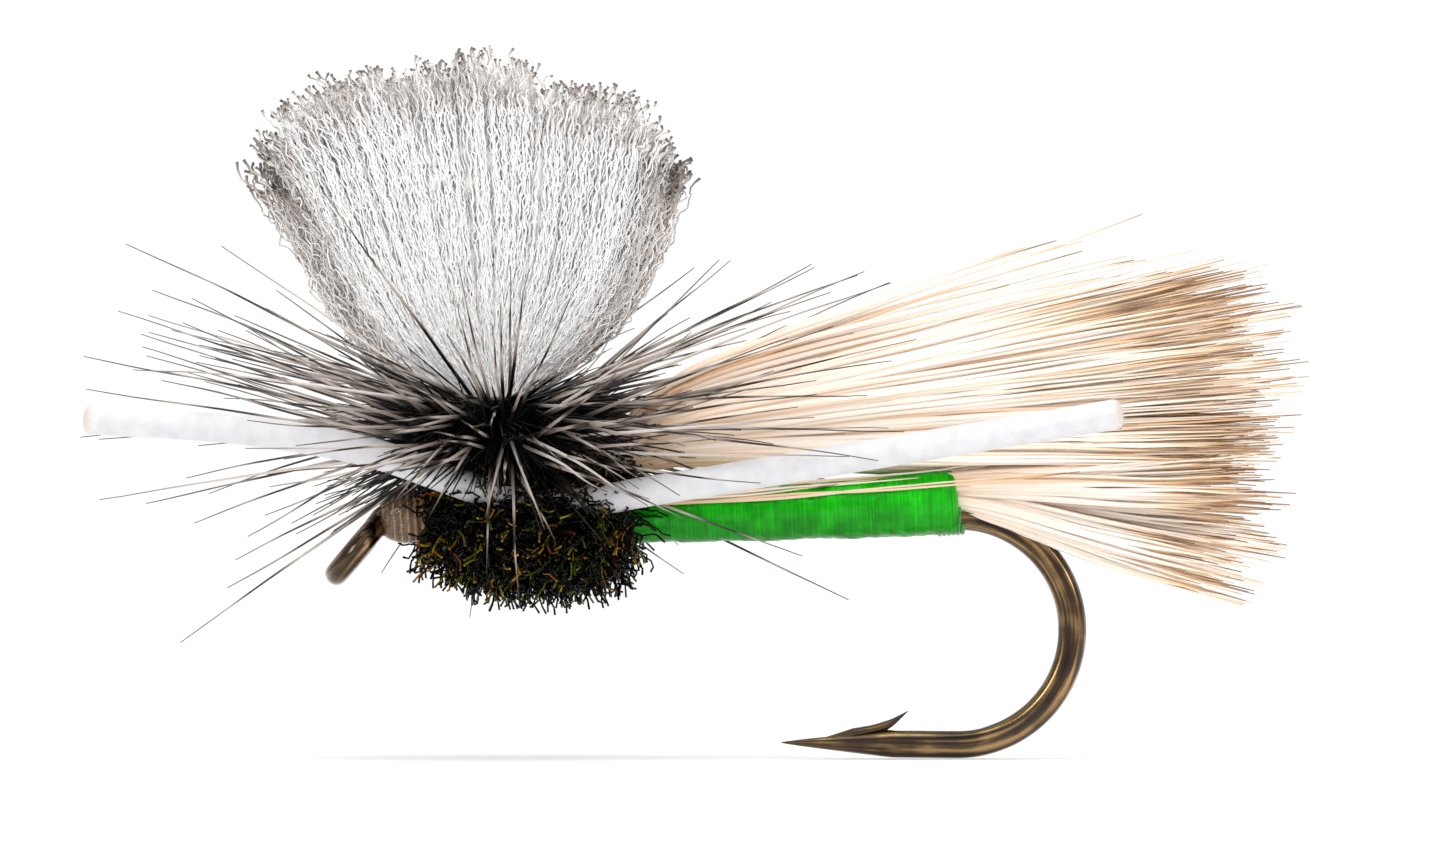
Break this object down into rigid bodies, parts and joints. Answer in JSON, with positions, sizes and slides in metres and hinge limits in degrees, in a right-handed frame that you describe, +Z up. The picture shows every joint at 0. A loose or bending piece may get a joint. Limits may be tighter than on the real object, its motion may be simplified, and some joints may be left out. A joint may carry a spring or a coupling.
{
  "type": "artificial dry fly",
  "caption": "Artificial dry fly on a barbed down-eye hook: upright yarn post with hackle collar, herl thorax, slim green body, hair wing and tail, and bending rubber legs.",
  "frame": {"origin": "centre of the hole in the hook's eye", "axes": "+X along the shank from the eye towards the bend and tail, +Z up towards the tip of the post, and -Y is the fly's left side when it faces -X"},
  "size_m": [0.032, 0.0188, 0.0181],
  "materials": {
    "bronzed_steel": "bronzed high-carbon wire, glossy",
    "brown_thread": "fine twisted tying thread",
    "black_thread": "fine waxed tying thread",
    "green_thread": "flat tying thread",
    "head_cement": "clear lacquer over the thread head",
    "elk_hair": "coarse hollow hair, cream roots to dark tips",
    "green_floss": "glossy twisted floss",
    "white_yarn": "crinkled synthetic yarn",
    "hackle_quill": "feather stem",
    "grizzly_hackle": "barred feather barbs, pale and near-black",
    "peacock_herl": "dark iridescent herl",
    "white_rubber": "matt round rubber"
  },
  "bodies": {
    "fly": {"hook": "bronzed_steel", "thread_base": "brown_thread", "head_wraps": "brown_thread", "head_cement": "head_cement", "tail_hair": "elk_hair", "tail_tie_wraps": "green_thread", "body_floss": "green_floss", "wing_hair": "elk_hair", "wing_tie_wraps": "black_thread", "post_yarn": "white_yarn", "post_anchor_wraps": "black_thread", "post_wraps": "black_thread", "hackle_stem": "hackle_quill", "hackle_barbs": "grizzly_hackle", "thorax_herl": "peacock_herl", "leg_tie_wraps": "black_thread", "left_strand_middle": "white_rubber", "right_strand_middle": "white_rubber"},
    "left_rear_leg_root": {"left_rear_leg_root": "white_rubber"},
    "left_rear_leg_inner": {"left_rear_leg_inner": "white_rubber"},
    "left_rear_leg_middle": {"left_rear_leg_middle": "white_rubber"},
    "left_rear_leg_tip": {"left_rear_leg_tip": "white_rubber"},
    "left_front_leg_root": {"left_front_leg_root": "white_rubber"},
    "left_front_leg_inner": {"left_front_leg_inner": "white_rubber"},
    "left_front_leg_middle": {"left_front_leg_middle": "white_rubber"},
    "left_front_leg_tip": {"left_front_leg_tip": "white_rubber"},
    "right_rear_leg_root": {"right_rear_leg_root": "white_rubber"},
    "right_rear_leg_inner": {"right_rear_leg_inner": "white_rubber"},
    "right_rear_leg_middle": {"right_rear_leg_middle": "white_rubber"},
    "right_rear_leg_tip": {"right_rear_leg_tip": "white_rubber"},
    "right_front_leg_root": {"right_front_leg_root": "white_rubber"},
    "right_front_leg_inner": {"right_front_leg_inner": "white_rubber"},
    "right_front_leg_middle": {"right_front_leg_middle": "white_rubber"},
    "right_front_leg_tip": {"right_front_leg_tip": "white_rubber"}
  },
  "joints": [
    {"name": "left_rear_leg_lift", "type": "hinge", "parent": "fly", "child": "left_rear_leg_root", "pos_m": [0.00664, -0.00135, 0.0014], "axis": [-0.2639, -0.9646, 0], "range_deg": [-8, 8], "stiffness_Nm_per_rad": 0.00004},
    {"name": "left_rear_leg_sweep", "type": "hinge", "parent": "left_rear_leg_root", "child": "left_rear_leg_inner", "pos_m": [0.0075, -0.00158, 0.00154], "axis": [0, 0, -1], "range_deg": [-4, 14], "stiffness_Nm_per_rad": 0.00001},
    {"name": "left_rear_leg_bend", "type": "hinge", "parent": "left_rear_leg_inner", "child": "left_rear_leg_middle", "pos_m": [0.0116, -0.00271, 0.00222], "axis": [0, 0, -1], "range_deg": [-4, 14]},
    {"name": "left_rear_leg_curl", "type": "hinge", "parent": "left_rear_leg_middle", "child": "left_rear_leg_tip", "pos_m": [0.0157, -0.00383, 0.0029], "axis": [0, 0, -1], "range_deg": [-4, 14]},
    {"name": "left_front_leg_lift", "type": "hinge", "parent": "fly", "child": "left_front_leg_root", "pos_m": [0.00324, -0.00136, 0.00164], "axis": [-0.2993, 0.9542, 0], "range_deg": [-8, 8], "stiffness_Nm_per_rad": 0.00004},
    {"name": "left_front_leg_sweep", "type": "hinge", "parent": "left_front_leg_root", "child": "left_front_leg_inner", "pos_m": [0.00242, -0.00162, 0.00191], "axis": [0, 0, 1], "range_deg": [-4, 14], "stiffness_Nm_per_rad": 0.00001},
    {"name": "left_front_leg_bend", "type": "hinge", "parent": "left_front_leg_inner", "child": "left_front_leg_middle", "pos_m": [0.0001, -0.00235, 0.00268], "axis": [0, 0, 1], "range_deg": [-4, 14]},
    {"name": "left_front_leg_curl", "type": "hinge", "parent": "left_front_leg_middle", "child": "left_front_leg_tip", "pos_m": [-0.0032, -0.0033, 0.00322], "axis": [0, 0, 1], "range_deg": [-4, 14]},
    {"name": "right_rear_leg_lift", "type": "hinge", "parent": "fly", "child": "right_rear_leg_root", "pos_m": [0.00664, 0.00135, 0.0014], "axis": [0.2639, -0.9646, 0], "range_deg": [-8, 8], "stiffness_Nm_per_rad": 0.00004},
    {"name": "right_rear_leg_sweep", "type": "hinge", "parent": "right_rear_leg_root", "child": "right_rear_leg_inner", "pos_m": [0.0075, 0.00158, 0.00154], "axis": [0, 0, 1], "range_deg": [-4, 14], "stiffness_Nm_per_rad": 0.00001},
    {"name": "right_rear_leg_bend", "type": "hinge", "parent": "right_rear_leg_inner", "child": "right_rear_leg_middle", "pos_m": [0.0116, 0.00271, 0.00222], "axis": [0, 0, 1], "range_deg": [-4, 14]},
    {"name": "right_rear_leg_curl", "type": "hinge", "parent": "right_rear_leg_middle", "child": "right_rear_leg_tip", "pos_m": [0.0157, 0.00383, 0.0029], "axis": [0, 0, 1], "range_deg": [-4, 14]},
    {"name": "right_front_leg_lift", "type": "hinge", "parent": "fly", "child": "right_front_leg_root", "pos_m": [0.00324, 0.00136, 0.00164], "axis": [0.2993, 0.9542, 0], "range_deg": [-8, 8], "stiffness_Nm_per_rad": 0.00004},
    {"name": "right_front_leg_sweep", "type": "hinge", "parent": "right_front_leg_root", "child": "right_front_leg_inner", "pos_m": [0.00242, 0.00162, 0.00191], "axis": [0, 0, -1], "range_deg": [-4, 14], "stiffness_Nm_per_rad": 0.00001},
    {"name": "right_front_leg_bend", "type": "hinge", "parent": "right_front_leg_inner", "child": "right_front_leg_middle", "pos_m": [0.0001, 0.00235, 0.00268], "axis": [0, 0, -1], "range_deg": [-4, 14]},
    {"name": "right_front_leg_curl", "type": "hinge", "parent": "right_front_leg_middle", "child": "right_front_leg_tip", "pos_m": [-0.0032, 0.0033, 0.00322], "axis": [0, 0, -1], "range_deg": [-4, 14]}
  ],
  "couplings": [
    {"joint": "left_rear_leg_bend", "follows": "left_rear_leg_sweep", "ratio": 1},
    {"joint": "left_rear_leg_curl", "follows": "left_rear_leg_sweep", "ratio": 1},
    {"joint": "left_front_leg_bend", "follows": "left_front_leg_sweep", "ratio": 1},
    {"joint": "left_front_leg_curl", "follows": "left_front_leg_sweep", "ratio": 1},
    {"joint": "right_rear_leg_bend", "follows": "right_rear_leg_sweep", "ratio": 1},
    {"joint": "right_rear_leg_curl", "follows": "right_rear_leg_sweep", "ratio": 1},
    {"joint": "right_front_leg_bend", "follows": "right_front_leg_sweep", "ratio": 1},
    {"joint": "right_front_leg_curl", "follows": "right_front_leg_sweep", "ratio": 1}
  ]
}
